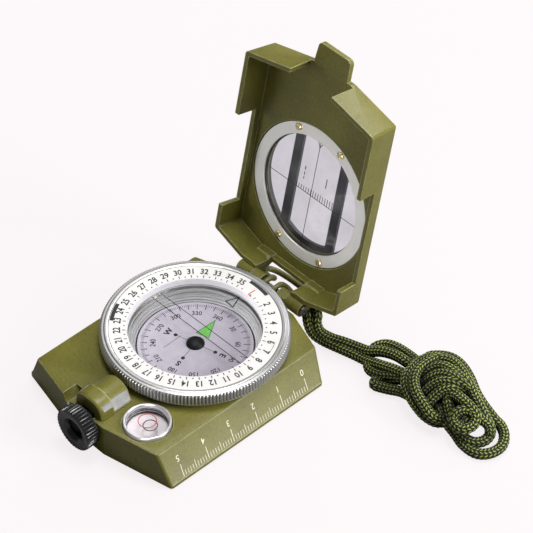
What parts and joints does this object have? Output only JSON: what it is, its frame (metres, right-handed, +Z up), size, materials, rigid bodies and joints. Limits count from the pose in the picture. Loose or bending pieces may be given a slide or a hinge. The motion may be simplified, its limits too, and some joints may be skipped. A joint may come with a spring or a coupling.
{
  "type": "sighting compass",
  "caption": "Pocket sighting compass: olive metal base with ruler edge, knurled bezel over a floating dial, focusing eyepiece, bubble level, hinged sighting cover, wire loop and cord.",
  "frame": {"origin": "on the dial axis, in the underside plane of the bottom plate", "axes": "+Z up along the dial axis, +Y from the eyepiece towards the hinge, +X towards the ruler side"},
  "size_m": [0.12, 0.1075, 0.0907],
  "materials": {
    "olive_paint": "satin stoved olive paint on die-cast alloy",
    "olive_wire": "olive painted steel wire",
    "bright_aluminium": "bright anodised, knurled and turned",
    "dial_white": "matt white with black print",
    "card_lilac": "matt pale lilac with black print",
    "black_plastic": "moulded black, knurled",
    "clear_glass": "clear, polished",
    "brass": "turned",
    "steel": "plain",
    "rubber_seal": "matt",
    "dark_frame": "dark grey satin",
    "braided_cord": "tubular braid, dark green with lighter flecks"
  },
  "bodies": {
    "root": {"base_body": "olive_paint", "bottom_plate": "olive_paint", "bottom_plate_screw_1": "steel", "bottom_plate_screw_2": "steel", "bottom_plate_screw_3": "steel", "bottom_plate_screw_4": "steel", "prism_housing": "olive_paint", "prism": "clear_glass", "eyepiece_sleeve": "black_plastic", "level_cup": "bright_aluminium", "level_vial": "clear_glass", "capsule_bowl": "bright_aluminium", "capsule_gasket": "rubber_seal", "capsule_glass": "clear_glass", "pivot_pin": "steel", "bezel_spring": "steel", "hinge_pin": "steel"},
    "bezel": {"bezel_ring": "bright_aluminium", "bezel_scale_ring": "dial_white", "bezel_window": "clear_glass"},
    "dial": {"compass_card": "card_lilac", "card_hub": "black_plastic", "card_magnet": "steel"},
    "eyepiece": {"focus_knob": "black_plastic"},
    "lens": {"lens_cell": "black_plastic", "eyepiece_lens": "clear_glass"},
    "lid": {"cover": "olive_paint", "cover_glass": "clear_glass", "glass_retaining_ring": "bright_aluminium", "ring_screw_1": "brass", "ring_screw_2": "brass", "ring_screw_3": "brass", "ring_screw_4": "brass", "sight_frame": "dark_frame"},
    "loop": {"thumb_loop": "olive_wire", "lanyard_hitch": "braided_cord"},
    "cord": {"lanyard": "braided_cord"}
  },
  "joints": [
    {"name": "cover_hinge", "type": "hinge", "parent": "root", "child": "lid", "pos_m": [0, 0.0315, 0.0127], "axis": [1, 0, 0], "range_deg": [-8, 101.75]},
    {"name": "bezel_turn", "type": "hinge", "parent": "root", "child": "bezel", "pos_m": [0, 0, 0.0144], "axis": [0, 0, 1], "continuous": true},
    {"name": "dial_spin", "type": "hinge", "parent": "root", "child": "dial", "pos_m": [0, 0, 0.0102], "axis": [0, 0, 1], "continuous": true},
    {"name": "focus_turn", "type": "hinge", "parent": "root", "child": "eyepiece", "pos_m": [0, -0.046, 0.0084], "axis": [0, 1, 0], "range_deg": [-270, 270]},
    {"name": "lens_slide", "type": "slide", "parent": "root", "child": "lens", "axis": [0, 1, 0], "range_m": [-0.001, 0.001]},
    {"name": "thumb_loop_swing", "type": "hinge", "parent": "root", "child": "loop", "pos_m": [0, 0.0315, 0.0127], "axis": [1, 0, 0], "range_deg": [-12, 8]},
    {"name": "lanyard_swing", "type": "hinge", "parent": "loop", "child": "cord", "pos_m": [0.0126, 0.038, 0.0076], "axis": [0, 0, 1], "range_deg": [-3, 45]}
  ],
  "couplings": [
    {"joint": "focus_turn", "follows": "lens_slide", "rad_per_m": 4000}
  ]
}
